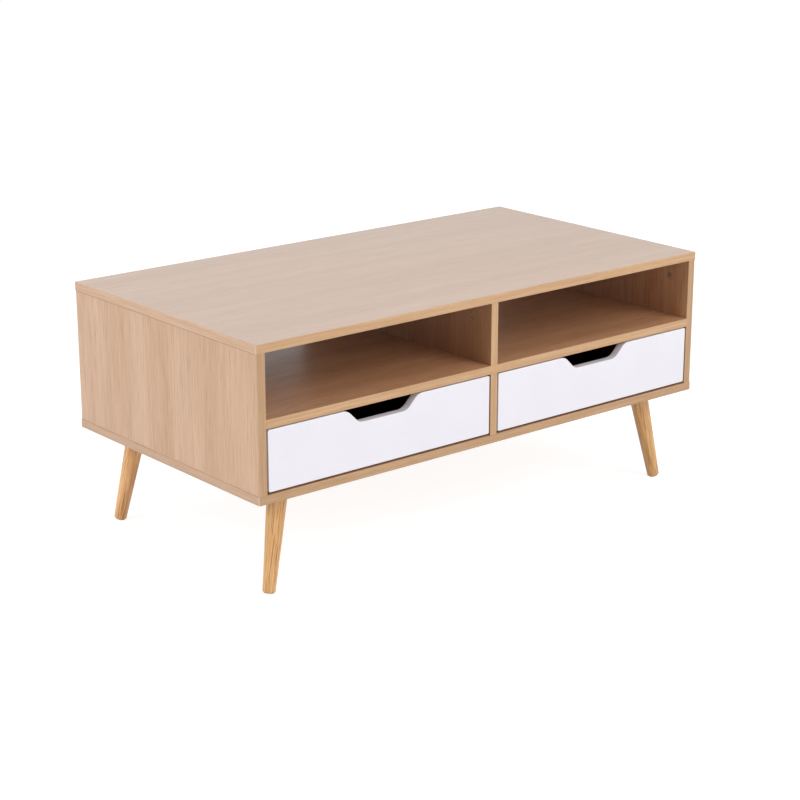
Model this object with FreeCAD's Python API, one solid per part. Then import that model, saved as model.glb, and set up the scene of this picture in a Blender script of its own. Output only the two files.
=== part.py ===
import FreeCAD, Part
import math
import os
from collections import namedtuple

# Coffee table: a laminated case with two drawers under two compartments that are open at front and back,
# on four splayed legs.
# Millimetres. X runs along the table, the drawers face -Y, Z points up and the floor is z = 0.

# Case
CASE_LENGTH = 1000.0
CASE_DEPTH = 535.0
CASE_HEIGHT = 265.0
LEG_HEIGHT = 174.0
BOARD = 15.0
DRAWER_BAY_HEIGHT = 110.0
END_OVERHANG = 1.5
BACK_RECESS = 2.0
EDGE_BAND = 1.0
EDGE_EASE = 0.5

# Cam fittings and dowels of the case
CAM_DIAMETER = 15.0
CAM_DEPTH = 12.5
CAM_REACH = 34.0
CAM_SETBACK = 48.0
CAM_SUNK = 0.3
CAM_BOLT_SHANK = 7.0
CAM_BOLT_THREAD = 5.0
CAM_BOLT_BITE = 11.0
CAM_BOLT_NECK = 8.0
CAM_BOLT_HEAD = 3.0
CAM_SLOT_ROOM = 0.4
CROSS_LENGTH = 7.0
CROSS_WIDTH = 2.6
CROSS_DEPTH = 1.6
DOWEL_DIAMETER = 8.0
DOWEL_LENGTH = 30.0
DOWEL_BITE = 10.0
DOWEL_PITCH = 32.0

# Drawer fronts
FRONT_BOARD = 15.0
FRONT_SIDE_GAP = 3.0
FRONT_TOP_GAP = 2.0
FRONT_BOTTOM_GAP = 4.0
FRONT_CORNER = 3.0
FRONT_EASE = 0.8
NOTCH_TOP = 151.0
NOTCH_BOTTOM = 101.0
NOTCH_DEPTH = 25.0
NOTCH_ROUND = 23.0

# Drawer boxes
DRAWER_BOARD = 12.0
DRAWER_SIDE_HEIGHT = 75.0
DRAWER_REAR_ROOM = 55.0
DRAWER_HELD = 108.0
DRAWER_BOTTOM = 3.0
GROOVE_HEIGHT = 10.0
GROOVE_DEPTH = 5.0
GROOVE_END_ROOM = 0.3
DRAWER_CAM_DIAMETER = 12.0
DRAWER_CAM_DEPTH = 9.5
DRAWER_CAM_REACH = 24.0
DRAWER_CAM_INSET = 16.0
DRAWER_BOLT_SHANK = 5.0
DRAWER_BOLT_THREAD = 4.0
DRAWER_BOLT_NECK = 6.5
DRAWER_BOLT_HEAD = 2.5

# Roller runners
RUNNER_ROOM = 12.5
RUNNER_STEEL = 1.2
RUNNER_LIFT = 6.0
RUNNER_PLAY = 0.5
RAIL_SETBACK = 3.5
RAIL_ROLLER_SETBACK = 14.0
RAIL_SCREW_SETBACK = 95.0
ROLLER_DIAMETER = 18.0
ROLLER_WIDTH = 6.0
ROLLER_EASE = 0.6
ROLLER_GAP = 0.3
ROLLER_PLAY = 0.2
AXLE_DIAMETER = 4.0
AXLE_FIT = 0.05
AXLE_SHOULDER = 0.5
AXLE_HEAD = 0.8
AXLE_HEAD_DIAMETER = 6.5
STOP_GAP = 0.3
STOP_HEIGHT = 4.0

# Screws
FIT = 0.1
SCREW_DIAMETER = 3.0
SCREW_HEAD_DIAMETER = 7.0
SCREW_HEAD_HEIGHT = 2.0
RAIL_SCREW_LENGTH = 12.0
DRAWER_SCREW_LENGTH = 25.0
RUNNER_SCREW_SETBACK = 60.0
PLATE_SCREW_DIAMETER = 4.0
PLATE_SCREW_LENGTH = 14.0

# Legs and their mounting plates
LEG_INSET_X = 80.0
LEG_INSET_Y = 59.0
LEG_LEAN = 12.7
LEG_TURN = 26.0
LEG_TOP_DIAMETER = 35.0
LEG_END_DIAMETER = 22.0
LEG_END_EASE = 1.2
LEG_TOP_GAP = 0.5
PLATE_SIZE = 60.0
PLATE_STEEL = 2.0
PLATE_CORNER = 6.0
PLATE_HOLE_INSET = 8.0
PLATE_BOSS_DIAMETER = 26.0
HANGER_BOLT_DIAMETER = 8.0
HANGER_BOLT_BITE = 35.0
GLIDE_DIAMETER = 18.0
GLIDE_THICKNESS = 2.0
GLIDE_EASE = 0.6
GLIDE_NAIL_DIAMETER = 2.0
GLIDE_NAIL_LENGTH = 12.0

V = FreeCAD.Vector
RIGHT = V(1, 0, 0)
REAR = V(0, 1, 0)
UP = V(0, 0, 1)
LEFT = RIGHT * -1
FRONT = REAR * -1
DOWN = UP * -1

# Heights of the boards
z_case = LEG_HEIGHT
z_floor = z_case + BOARD
z_shelf = z_floor + DRAWER_BAY_HEIGHT
z_shelf_top = z_shelf + BOARD
z_table = z_case + CASE_HEIGHT
z_roof = z_table - BOARD

# Faces of the uprights, measured from the middle of the table
x_end = CASE_LENGTH / 2
x_outer = x_end - END_OVERHANG
x_inner = x_outer - BOARD
x_divider = BOARD / 2

# Depths: the front edge, the back panel and the rows of fittings
y_front = -CASE_DEPTH / 2
y_rear = CASE_DEPTH / 2
y_back_face = y_rear - BACK_RECESS
y_back = y_back_face - BOARD
fitting_rows = (y_front + CAM_SETBACK, y_back - CAM_SETBACK)
dowel_rows = (fitting_rows[0] + DOWEL_PITCH, fitting_rows[1] - DOWEL_PITCH)

CamSize = namedtuple("CamSize", "board diameter depth reach shank thread neck head")
CASE_CAM = CamSize(
    BOARD, CAM_DIAMETER, CAM_DEPTH, CAM_REACH, CAM_BOLT_SHANK, CAM_BOLT_THREAD, CAM_BOLT_NECK, CAM_BOLT_HEAD
)
DRAWER_CAM = CamSize(
    DRAWER_BOARD,
    DRAWER_CAM_DIAMETER,
    DRAWER_CAM_DEPTH,
    DRAWER_CAM_REACH,
    DRAWER_BOLT_SHANK,
    DRAWER_BOLT_THREAD,
    DRAWER_BOLT_NECK,
    DRAWER_BOLT_HEAD,
)

boards = {}
bores = {}


def save(name, shape):
    """Writes one node."""
    shape.exportStep(f"parts/{name}.step")


def save_group(name, solids):
    """Writes like pieces as one node of separate solids."""
    save(name, Part.makeCompound(solids))


def block(a, b):
    """A box between two opposite corners."""
    low = V(min(a.x, b.x), min(a.y, b.y), min(a.z, b.z))
    high = V(max(a.x, b.x), max(a.y, b.y), max(a.z, b.z))
    size = high - low
    return Part.makeBox(size.x, size.y, size.z, low)


def rod(start, direction, length, diameter):
    """A round bar from a point along a direction."""
    return Part.makeCylinder(diameter / 2, length, start, direction)


def joined(solids):
    """One solid made of several that touch."""
    return solids[0].multiFuse(solids[1:]).removeSplitter()


def bore(board, start, direction, depth, diameter):
    """Notes a hole to be drilled in a board."""
    bores.setdefault(board, []).append(rod(start, direction, depth, diameter))


def drilled(name):
    """A board with all its holes and grooves."""
    return boards[name].cut(Part.makeCompound(bores[name])) if name in bores else boards[name]


def edge_band(a, b, outward, ends_eased=False):
    """A strip on a board's edge, with its outer long edges eased, and its ends too where they show."""
    strip = block(a, b)
    reach = max(v.Point.dot(outward) for v in strip.Vertexes)
    outer = [e for e in strip.Edges if min(v.Point.dot(outward) for v in e.Vertexes) > reach - EDGE_BAND / 2]
    longest = max(e.Length for e in outer)
    eased = outer if ends_eased else [e for e in outer if e.Length > longest - EDGE_BAND]
    return strip.makeFillet(min(EDGE_EASE, EDGE_BAND * 0.6), eased)


def cam_fitting(size, joint, inward, face, bolt_board, cam_board):
    """A cam bolt in one board's face and the cam in the other board that draws it in; returns both."""
    side = inward.cross(face)
    centre = joint + inward * size.reach
    seat = centre + face * (size.board / 2)
    bore(bolt_board, joint, inward * -1, CAM_BOLT_BITE + FIT, size.thread + 2 * FIT)
    bore(cam_board, joint, inward, size.reach, size.shank + 2 * FIT)
    bore(cam_board, seat, face * -1, size.depth + FIT, size.diameter + 2 * FIT)
    neck_start = size.reach - size.neck
    bolt = joined(
        [
            rod(joint - inward * CAM_BOLT_BITE, inward, CAM_BOLT_BITE, size.thread),
            rod(joint, inward, neck_start, size.shank),
            rod(joint + inward * neck_start, inward, size.neck, size.thread),
            rod(centre - inward * (size.head / 2), inward, size.head, size.shank),
        ]
    )
    cam = rod(seat - face * CAM_SUNK, face * -1, size.depth - CAM_SUNK, size.diameter)
    half = size.shank / 2 + CAM_SLOT_ROOM
    across = side * half + face * half
    slot = block(
        centre - inward * size.diameter - across, centre + inward * (size.head / 2 + CAM_SLOT_ROOM) + across
    )
    recess = face * (CAM_SUNK + CROSS_DEPTH)
    bars = []
    for along, wide in ((inward, side), (side, inward)):
        arm = along * (CROSS_LENGTH / 2) + wide * (CROSS_WIDTH / 2)
        bars.append(block(seat - recess - arm, seat + arm))
    return cam.cut(Part.makeCompound([slot] + bars)), bolt


def dowel(joint, inward, face_board, edge_board):
    """A wooden dowel across a joint."""
    diameter = DOWEL_DIAMETER + 2 * FIT
    bore(face_board, joint, inward * -1, DOWEL_BITE + FIT, diameter)
    bore(edge_board, joint, inward, DOWEL_LENGTH - DOWEL_BITE + FIT, diameter)
    return rod(joint - inward * DOWEL_BITE, inward, DOWEL_LENGTH, DOWEL_DIAMETER)


def pan_screw(seat, direction, length, diameter):
    """A pan-head screw whose head sits on a face at seat."""
    head = rod(seat - direction * SCREW_HEAD_HEIGHT, direction, SCREW_HEAD_HEIGHT, SCREW_HEAD_DIAMETER)
    rim = max(head.Edges, key=lambda e: -e.CenterOfMass.dot(direction))
    rounded = head.makeFillet(SCREW_HEAD_HEIGHT * 0.6, [rim])
    return joined([rounded, rod(seat, direction, length, diameter)])


def rounded_outline(corners):
    """A closed wire in the XZ plane through (x, z, radius) corners, each rounded by its radius."""
    starts = []
    ends = []
    middles = []
    count = len(corners)
    for i, (x, z, radius) in enumerate(corners):
        corner = V(x, 0, z)
        before = V(corners[i - 1][0], 0, corners[i - 1][1]) - corner
        after = V(corners[(i + 1) % count][0], 0, corners[(i + 1) % count][1]) - corner
        before.normalize()
        after.normalize()
        half = before.getAngle(after) / 2
        reach = radius / math.tan(half)
        inward = before + after
        inward.normalize()
        starts.append(corner + before * reach)
        ends.append(corner + after * reach)
        middles.append(corner + inward * (radius / math.sin(half) - radius))
    edges = []
    for i in range(count):
        edges.append(Part.Arc(starts[i], middles[i], ends[i]).toShape())
        edges.append(Part.LineSegment(ends[i], starts[(i + 1) % count]).toShape())
    return Part.Wire(edges)


def case_boards():
    """The laminated boards of the case, before drilling."""
    core_x = x_end - EDGE_BAND
    core_front = y_front + EDGE_BAND
    core_rear = y_rear - EDGE_BAND
    boards["top_panel"] = block(V(-core_x, core_front, z_roof), V(core_x, core_rear, z_table))
    boards["bottom_panel"] = block(V(-core_x, core_front, z_case), V(core_x, core_rear, z_floor))
    boards["left_side_panel"] = block(V(-x_outer, core_front, z_floor), V(-x_inner, core_rear, z_roof))
    boards["right_side_panel"] = block(V(x_inner, core_front, z_floor), V(x_outer, core_rear, z_roof))
    boards["shelf_panel"] = block(V(-x_inner, core_front, z_shelf), V(x_inner, core_rear, z_shelf_top))
    boards["upper_divider"] = block(V(-x_divider, core_front, z_shelf_top), V(x_divider, core_rear, z_roof))
    boards["lower_divider"] = block(V(-x_divider, core_front, z_floor), V(x_divider, y_back, z_shelf))
    boards["back_panel"] = block(V(-x_inner, y_back, z_floor), V(x_inner, y_back_face, z_shelf))


def edge_bands():
    """The strips that close the boards' cut edges."""
    for name, low, high in (("top", z_roof, z_table), ("bottom", z_case, z_floor)):
        strips = []
        for y, outward in ((y_front, FRONT), (y_rear, REAR)):
            inner = V(-x_end, y, low) - outward * EDGE_BAND
            strips.append(edge_band(inner, V(x_end, y, high), outward, ends_eased=True))
        for x, outward in ((-x_end, LEFT), (x_end, RIGHT)):
            inner = V(x, y_front + EDGE_BAND, low) - outward * EDGE_BAND
            strips.append(edge_band(inner, V(x, y_rear - EDGE_BAND, high), outward))
        save_group(f"{name}_edge_bands", strips)
    strips = []
    for x in (-x_outer, x_inner):
        for y, outward in ((y_front, FRONT), (y_rear, REAR)):
            inner = V(x, y, z_floor) - outward * EDGE_BAND
            strips.append(edge_band(inner, V(x + BOARD, y, z_roof), outward))
    save_group("side_edge_bands", strips)
    strips = [edge_band(V(-x_divider, y_front + EDGE_BAND, z_floor), V(x_divider, y_front, z_shelf), FRONT)]
    for y, outward in ((y_front, FRONT), (y_rear, REAR)):
        for half, low, high in ((x_inner, z_shelf, z_shelf_top), (x_divider, z_shelf_top, z_roof)):
            inner = V(-half, y, low) - outward * EDGE_BAND
            strips.append(edge_band(inner, V(half, y, high), outward))
    save_group("inner_edge_bands", strips)


def case_fittings():
    """Cams, cam bolts and dowels that hold the case together."""
    fittings = []
    dowels = []
    x_side = x_inner + BOARD / 2
    uprights = (
        (-x_side, RIGHT, "left_side_panel", "left_side_panel"),
        (0, LEFT, "upper_divider", "lower_divider"),
        (x_side, LEFT, "right_side_panel", "right_side_panel"),
    )
    for x, face, high, low in uprights:
        for y in fitting_rows:
            fittings.append(cam_fitting(CASE_CAM, V(x, y, z_roof), DOWN, face, "top_panel", high))
            fittings.append(cam_fitting(CASE_CAM, V(x, y, z_floor), UP, face, "bottom_panel", low))
        for y in dowel_rows:
            dowels.append(dowel(V(x, y, z_roof), DOWN, "top_panel", high))
            dowels.append(dowel(V(x, y, z_floor), UP, "bottom_panel", low))
    y_mid = y_back + BOARD / 2
    for x, inward, side in ((-x_inner, RIGHT, "left_side_panel"), (x_inner, LEFT, "right_side_panel")):
        z_mid = z_shelf + BOARD / 2
        for y in fitting_rows:
            fittings.append(cam_fitting(CASE_CAM, V(x, y, z_mid), inward, DOWN, side, "shelf_panel"))
        for y in dowel_rows:
            dowels.append(dowel(V(x, y, z_mid), inward, side, "shelf_panel"))
        low = V(x, y_mid, z_floor + DRAWER_BAY_HEIGHT / 4)
        high = V(x, y_mid, z_shelf - DRAWER_BAY_HEIGHT / 4)
        fittings.append(cam_fitting(CASE_CAM, low, inward, FRONT, side, "back_panel"))
        dowels.append(dowel(high, inward, side, "back_panel"))
    for y in dowel_rows:
        dowels.append(dowel(V(0, y, z_shelf_top), UP, "shelf_panel", "upper_divider"))
    for y in fitting_rows:
        dowels.append(dowel(V(0, y, z_shelf), DOWN, "shelf_panel", "lower_divider"))
    for x in (-x_inner / 2, x_inner / 2):
        dowels.append(dowel(V(x, y_mid, z_shelf), DOWN, "shelf_panel", "back_panel"))
        dowels.append(dowel(V(x, y_mid, z_floor), UP, "bottom_panel", "back_panel"))
    save_group("cam_locks", [cam for cam, bolt in fittings])
    save_group("cam_bolts", [bolt for cam, bolt in fittings])
    save_group("dowels", dowels)


# Runner section: distances inward from the wall of the bay
web_in = RUNNER_ROOM - RUNNER_STEEL
rail_depth = web_in - RUNNER_PLAY
rail_roller_start = RUNNER_STEEL + AXLE_SHOULDER + ROLLER_PLAY
drawer_roller_end = web_in - AXLE_SHOULDER - ROLLER_PLAY
side_inner = RUNNER_ROOM + DRAWER_BOARD

# Runner section: heights
roller_radius = ROLLER_DIAMETER / 2
z_rail = z_floor + RUNNER_LIFT
z_track = z_rail + RUNNER_STEEL
z_drawer_axle = z_track + ROLLER_GAP + roller_radius
z_lip = z_drawer_axle + roller_radius + RUNNER_PLAY
z_rail_axle = z_lip - ROLLER_GAP - roller_radius
z_rail_roof = z_lip + RUNNER_STEEL + 2 * RUNNER_PLAY
z_rail_top = z_rail_roof + RUNNER_STEEL

# Drawer box: heights, depths and the places of its fittings
z_box = z_track
z_box_top = z_box + DRAWER_SIDE_HEIGHT
z_groove = z_box + GROOVE_HEIGHT
fitting_heights = (z_groove + DRAWER_BOTTOM + DRAWER_CAM_INSET, z_box_top - DRAWER_CAM_INSET)
y_box = y_front + FRONT_BOARD
y_box_rear = y_back - DRAWER_REAR_ROOM
y_box_back = y_box_rear - DRAWER_BOARD
travel = y_box_rear - y_box - DRAWER_HELD
y_rail = y_box + RAIL_SETBACK
y_rail_axle = y_rail + RAIL_ROLLER_SETBACK
y_drawer_axle = y_box_rear - RUNNER_STEEL - STOP_GAP - roller_radius
y_stop = y_drawer_axle - travel - math.sqrt(roller_radius**2 - (roller_radius + ROLLER_GAP - STOP_HEIGHT) ** 2)
groove_reach = GROOVE_DEPTH - GROOVE_END_ROOM


class BayWall:
    """One wall of a drawer bay; distances run from the wall towards the middle of the bay."""

    def __init__(self, x, inward):
        self.x = x
        self.inward = RIGHT * inward

    def point(self, distance, y, z):
        """A point at a distance from the wall."""
        return V(self.x, y, z) + self.inward * distance

    def block(self, distances, depths, heights):
        """A box between two distances from the wall, two depths and two heights."""
        starts = self.point(distances[0], depths[0], heights[0])
        return block(starts, self.point(distances[1], depths[1], heights[1]))

    def axle(self, foot, y, z, outward):
        """A riveted stub axle with its shoulder and head, standing on a web at distance foot."""
        direction = self.inward * outward
        start = self.point(foot, y, z)
        free = AXLE_SHOULDER + ROLLER_WIDTH + 2 * ROLLER_PLAY
        return [
            rod(start, direction, AXLE_SHOULDER, AXLE_HEAD_DIAMETER),
            rod(start, direction, free + AXLE_HEAD, AXLE_DIAMETER),
            rod(start + direction * free, direction, AXLE_HEAD, AXLE_HEAD_DIAMETER),
        ]

    def roller(self, start, y, z):
        """A nylon roller with eased rims, running on a stub axle."""
        wheel = rod(self.point(start, y, z), self.inward, ROLLER_WIDTH, ROLLER_DIAMETER)
        rims = [e for e in wheel.Edges if len(e.Vertexes) == 1]
        hole = rod(self.point(start, y, z), self.inward, ROLLER_WIDTH, AXLE_DIAMETER + 2 * AXLE_FIT)
        return wheel.makeFillet(ROLLER_EASE, rims).cut(hole)

    def rail(self, screw_rows):
        """The fixed channel: web, track, roof, the stops that the drawer's roller meets, and an axle."""
        depths = (y_rail, y_box_rear)
        stop_heights = (z_rail, z_track + STOP_HEIGHT)
        out_stop = (y_stop - STOP_GAP - RUNNER_STEEL, y_stop - STOP_GAP)
        sheet = [
            self.block((0, RUNNER_STEEL), depths, (z_rail, z_rail_top)),
            self.block((0, rail_depth), depths, (z_rail, z_track)),
            self.block((0, rail_depth), depths, (z_rail_roof, z_rail_top)),
            self.block((0, rail_depth), (y_box_rear - RUNNER_STEEL, y_box_rear), stop_heights),
            self.block((0, rail_depth), out_stop, stop_heights),
        ]
        channel = joined(sheet + self.axle(RUNNER_STEEL, y_rail_axle, z_rail_axle, 1))
        holes = [self.screw_hole(y) for y in screw_rows]
        return channel.cut(Part.makeCompound(holes))

    def screw_hole(self, y):
        """A clearance hole through the rail's web."""
        return rod(self.point(0, y, z_drawer_axle), self.inward, RUNNER_STEEL, SCREW_DIAMETER + 2 * FIT)

    def rail_screw(self, y, board):
        """A screw through the rail's web into the wall."""
        bite = RAIL_SCREW_LENGTH - RUNNER_STEEL
        bore(board, self.point(0, y, z_drawer_axle), self.inward * -1, bite + FIT, SCREW_DIAMETER + 2 * FIT)
        seat = self.point(RUNNER_STEEL, y, z_drawer_axle)
        return pan_screw(seat, self.inward * -1, RAIL_SCREW_LENGTH, SCREW_DIAMETER)

    def runner(self, rows):
        """The drawer's own profile: a lip that runs on the rail's roller, a web and a foot under the side."""
        depths = (y_box, y_box_rear)
        profile = [
            self.block((web_in, RUNNER_ROOM), depths, (z_rail, z_lip + RUNNER_STEEL)),
            self.block((RUNNER_STEEL + RUNNER_PLAY, RUNNER_ROOM), depths, (z_lip, z_lip + RUNNER_STEEL)),
            self.block((web_in, side_inner - GROOVE_END_ROOM), depths, (z_rail, z_track)),
        ]
        strip = joined(profile + self.axle(web_in, y_drawer_axle, z_drawer_axle, -1))
        holes = [rod(self.foot_hole(y), UP, RUNNER_STEEL, SCREW_DIAMETER + 2 * FIT) for y in rows]
        return strip.cut(Part.makeCompound(holes))

    def foot_hole(self, y):
        """Where a screw goes up through the runner's foot, clear of the groove in the drawer's side."""
        return self.point(RUNNER_ROOM + (DRAWER_BOARD - GROOVE_DEPTH) / 2, y, z_rail)


def drawer_front(x_middle, width):
    """The drawer's front board with eased edges and its finger notch."""
    low = z_floor + FRONT_BOTTOM_GAP
    high = z_shelf - FRONT_TOP_GAP
    left = x_middle - width / 2
    right = x_middle + width / 2
    corners = [
        (left, low, FRONT_CORNER),
        (right, low, FRONT_CORNER),
        (right, high, FRONT_CORNER),
        (x_middle + NOTCH_TOP / 2, high, NOTCH_ROUND),
        (x_middle + NOTCH_BOTTOM / 2, high - NOTCH_DEPTH, NOTCH_ROUND),
        (x_middle - NOTCH_BOTTOM / 2, high - NOTCH_DEPTH, NOTCH_ROUND),
        (x_middle - NOTCH_TOP / 2, high, NOTCH_ROUND),
        (left, high, FRONT_CORNER),
    ]
    outline = rounded_outline(corners)
    outline.translate(V(0, y_front, 0))
    slab = Part.Face(outline).extrude(REAR * FRONT_BOARD)
    rims = [e for e in slab.Edges if abs(e.CenterOfMass.y - slab.CenterOfMass.y) > FRONT_BOARD / 4]
    return slab.makeFillet(FRONT_EASE, rims)


def drawer_bay(bay, x_low, x_high, walls):
    """One drawer with its rails; returns the rails' screws for the case."""
    drawer = f"{bay}_drawer"
    x_middle = (x_low + x_high) / 2
    bay_width = x_high - x_low
    front = f"{drawer}_front"
    back = f"{drawer}_back"
    box_left = x_low + side_inner
    box_right = x_high - side_inner
    boards[front] = drawer_front(x_middle, bay_width - 2 * FRONT_SIDE_GAP)
    boards[back] = block(V(box_left, y_box_back, z_box), V(box_right, y_box_rear, z_box_top))
    bottom_low = V(box_left - groove_reach, y_box - groove_reach, z_groove)
    bottom_high = V(box_right + groove_reach, y_box_back + groove_reach, z_groove + DRAWER_BOTTOM)
    save(f"{drawer}_bottom", block(bottom_low, bottom_high))
    room = V(GROOVE_END_ROOM, GROOVE_END_ROOM, FIT)
    groove = block(bottom_low - room, bottom_high + room)
    bores[front] = [groove]
    bores[back] = [groove]
    fittings = []
    screws = []
    case_screws = []
    runner_rows = (y_box + RUNNER_SCREW_SETBACK, y_box_rear - RUNNER_SCREW_SETBACK)
    for hand, x_wall, inward, board, shift in walls:
        wall = BayWall(x_wall, inward)
        side = f"{drawer}_{hand}_side"
        boards[side] = wall.block((RUNNER_ROOM, side_inner), (y_box, y_box_rear), (z_box, z_box_top))
        slot = wall.block(
            (side_inner - GROOVE_DEPTH, side_inner),
            (y_box, y_box_rear),
            (z_groove - FIT, z_groove + DRAWER_BOTTOM + FIT),
        )
        bores[side] = [slot]
        for z in fitting_heights:
            joint = wall.point(RUNNER_ROOM + DRAWER_BOARD / 2, y_box, z)
            fittings.append(cam_fitting(DRAWER_CAM, joint, REAR, wall.inward, front, side))
            seat = wall.point(RUNNER_ROOM, y_box_rear - DRAWER_BOARD / 2, z)
            bore(side, seat, wall.inward, DRAWER_BOARD, SCREW_DIAMETER + 2 * FIT)
            bore(back, seat, wall.inward, DRAWER_SCREW_LENGTH + FIT, SCREW_DIAMETER + 2 * FIT)
            screws.append(pan_screw(seat, wall.inward, DRAWER_SCREW_LENGTH, SCREW_DIAMETER))
        for y in runner_rows:
            seat = wall.foot_hole(y)
            bore(side, seat, UP, DRAWER_SCREW_LENGTH + FIT, SCREW_DIAMETER + 2 * FIT)
            screws.append(pan_screw(seat, UP, DRAWER_SCREW_LENGTH, SCREW_DIAMETER))
        first = y_rail + RAIL_SCREW_SETBACK + shift
        last = y_box_rear - RAIL_SCREW_SETBACK + shift
        screw_rows = (first, (first + last) / 2, last)
        case_screws += [wall.rail_screw(y, board) for y in screw_rows]
        save(f"{bay}_bay_{hand}_rail", wall.rail(screw_rows))
        save(f"{bay}_bay_{hand}_rail_roller", wall.roller(rail_roller_start, y_rail_axle, z_rail_axle))
        save(f"{drawer}_{hand}_runner", wall.runner(runner_rows))
        roller_start = drawer_roller_end - ROLLER_WIDTH
        save(f"{drawer}_{hand}_roller", wall.roller(roller_start, y_drawer_axle, z_drawer_axle))
    save_group(f"{drawer}_cam_locks", [cam for cam, bolt in fittings])
    save_group(f"{drawer}_cam_bolts", [bolt for cam, bolt in fittings])
    save_group(f"{drawer}_screws", screws)
    return case_screws


def drawers():
    """Both drawers; the rails on the divider's two faces have staggered screws."""
    left_walls = (("left", -x_inner, 1, "left_side_panel", 0), ("right", -x_divider, -1, "lower_divider", 0))
    right_walls = (
        ("left", x_divider, 1, "lower_divider", DOWEL_PITCH),
        ("right", x_inner, -1, "right_side_panel", 0),
    )
    screws = drawer_bay("left", -x_inner, -x_divider, left_walls)
    screws += drawer_bay("right", x_divider, x_inner, right_walls)
    save_group("rail_screws", screws)


# Leg axis: how far along it, from the underside of the case, each piece starts and ends
lean = math.radians(LEG_LEAN)
leg_top_radius = LEG_TOP_DIAMETER / 2
leg_start = (PLATE_STEEL + leg_top_radius * math.sin(lean) + LEG_TOP_GAP) / math.cos(lean)
glide_rim = GLIDE_DIAMETER / 2 - GLIDE_EASE
glide_drop = (LEG_HEIGHT - GLIDE_EASE - glide_rim * math.sin(lean)) / math.cos(lean)
leg_end = glide_drop + GLIDE_EASE - GLIDE_THICKNESS
bolt_start = (HANGER_BOLT_DIAMETER / 2 * math.sin(lean) + FIT) / math.cos(lean)


class LegCorner:
    """One corner of the table: a splayed leg, its plate, hanger bolt, screws and glide."""

    def __init__(self, across, along):
        turn = math.radians(LEG_TURN)
        outward = V(across * math.cos(turn), along * math.sin(turn), 0)
        self.axis = outward * math.sin(lean) + DOWN * math.cos(lean)
        self.foot = V(across * (x_end - LEG_INSET_X), along * (CASE_DEPTH / 2 - LEG_INSET_Y), z_case)

    def at(self, distance):
        """A point on the leg's axis, measured from the underside of the case."""
        return self.foot + self.axis * distance

    def bar(self, start, end, diameter):
        """A round bar along the leg's axis."""
        return rod(self.at(start), self.axis, end - start, diameter)

    def leg(self):
        """The tapered leg, cut square at both ends, with its bolt and nail holes."""
        length = leg_end - leg_start
        cone = Part.makeCone(leg_top_radius, LEG_END_DIAMETER / 2, length, self.at(leg_start), self.axis)
        rims = [e for e in cone.Edges if len(e.Vertexes) == 1]
        end_rim = max(rims, key=lambda e: e.CenterOfMass.dot(self.axis))
        turned = cone.makeFillet(LEG_END_EASE, [end_rim])
        bolt_hole = self.bar(leg_start, leg_start + HANGER_BOLT_BITE + FIT, HANGER_BOLT_DIAMETER + 2 * FIT)
        nail_hole = self.bar(leg_end - GLIDE_NAIL_LENGTH - FIT, leg_end, GLIDE_NAIL_DIAMETER + 2 * FIT)
        return turned.cut(Part.makeCompound([bolt_hole, nail_hole]))

    def plate(self):
        """A steel plate with a slanted boss that the leg's top seats on."""
        half = V(PLATE_SIZE / 2, PLATE_SIZE / 2, 0)
        flat = block(self.foot - half, self.foot + half + DOWN * PLATE_STEEL)
        corners = [e for e in flat.Edges if abs(e.CenterOfMass.z - flat.CenterOfMass.z) < PLATE_STEEL / 4]
        flat = flat.makeFillet(PLATE_CORNER, corners)
        boss = self.bar(-PLATE_BOSS_DIAMETER, leg_start, PLATE_BOSS_DIAMETER)
        above = block(self.foot - half * 2 + DOWN * PLATE_STEEL, self.foot + half * 2 + UP * PLATE_SIZE)
        bolt_hole = self.bar(-PLATE_BOSS_DIAMETER, leg_start, HANGER_BOLT_DIAMETER + 2 * FIT)
        holes = [rod(p, UP, PLATE_STEEL, PLATE_SCREW_DIAMETER + 2 * FIT) for p in self.screw_seats()]
        return joined([flat, boss.cut(above)]).cut(Part.makeCompound([bolt_hole] + holes))

    def screw_seats(self):
        """Where the screws' heads sit on the plate's underside."""
        reach = PLATE_SIZE / 2 - PLATE_HOLE_INSET
        under = self.foot + DOWN * PLATE_STEEL
        return [under + V(i * reach, j * reach, 0) for i in (-1, 1) for j in (-1, 1)]

    def screws(self):
        """The screws that hold the plate to the bottom panel."""
        made = []
        for seat in self.screw_seats():
            bore("bottom_panel", seat, UP, PLATE_SCREW_LENGTH + FIT, PLATE_SCREW_DIAMETER + 2 * FIT)
            made.append(pan_screw(seat, UP, PLATE_SCREW_LENGTH, PLATE_SCREW_DIAMETER))
        return made

    def hanger_bolt(self):
        """The bolt that joins the leg to its plate."""
        return self.bar(bolt_start, leg_start + HANGER_BOLT_BITE, HANGER_BOLT_DIAMETER)

    def glide(self):
        """A nailed glide on the leg's end, eased where it meets the floor."""
        pad = self.bar(leg_end, leg_end + GLIDE_THICKNESS, GLIDE_DIAMETER)
        rims = [e for e in pad.Edges if len(e.Vertexes) == 1]
        floor_rim = max(rims, key=lambda e: e.CenterOfMass.dot(self.axis))
        nail = self.bar(leg_end - GLIDE_NAIL_LENGTH, leg_end, GLIDE_NAIL_DIAMETER)
        return joined([pad.makeFillet(GLIDE_EASE, [floor_rim]), nail])


def legs():
    """The four legs and what holds them."""
    bolts = []
    screws = []
    glides = []
    for end, along in (("front", -1), ("rear", 1)):
        for hand, across in (("left", -1), ("right", 1)):
            corner = LegCorner(across, along)
            save(f"{end}_{hand}_leg", corner.leg())
            save(f"{end}_{hand}_leg_plate", corner.plate())
            bolts.append(corner.hanger_bolt())
            screws += corner.screws()
            glides.append(corner.glide())
    save_group("leg_hanger_bolts", bolts)
    save_group("leg_plate_screws", screws)
    save_group("leg_glides", glides)


os.makedirs("parts", exist_ok=True)
case_boards()
edge_bands()
case_fittings()
drawers()
legs()
for board_name in boards:
    save(board_name, drilled(board_name))
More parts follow.
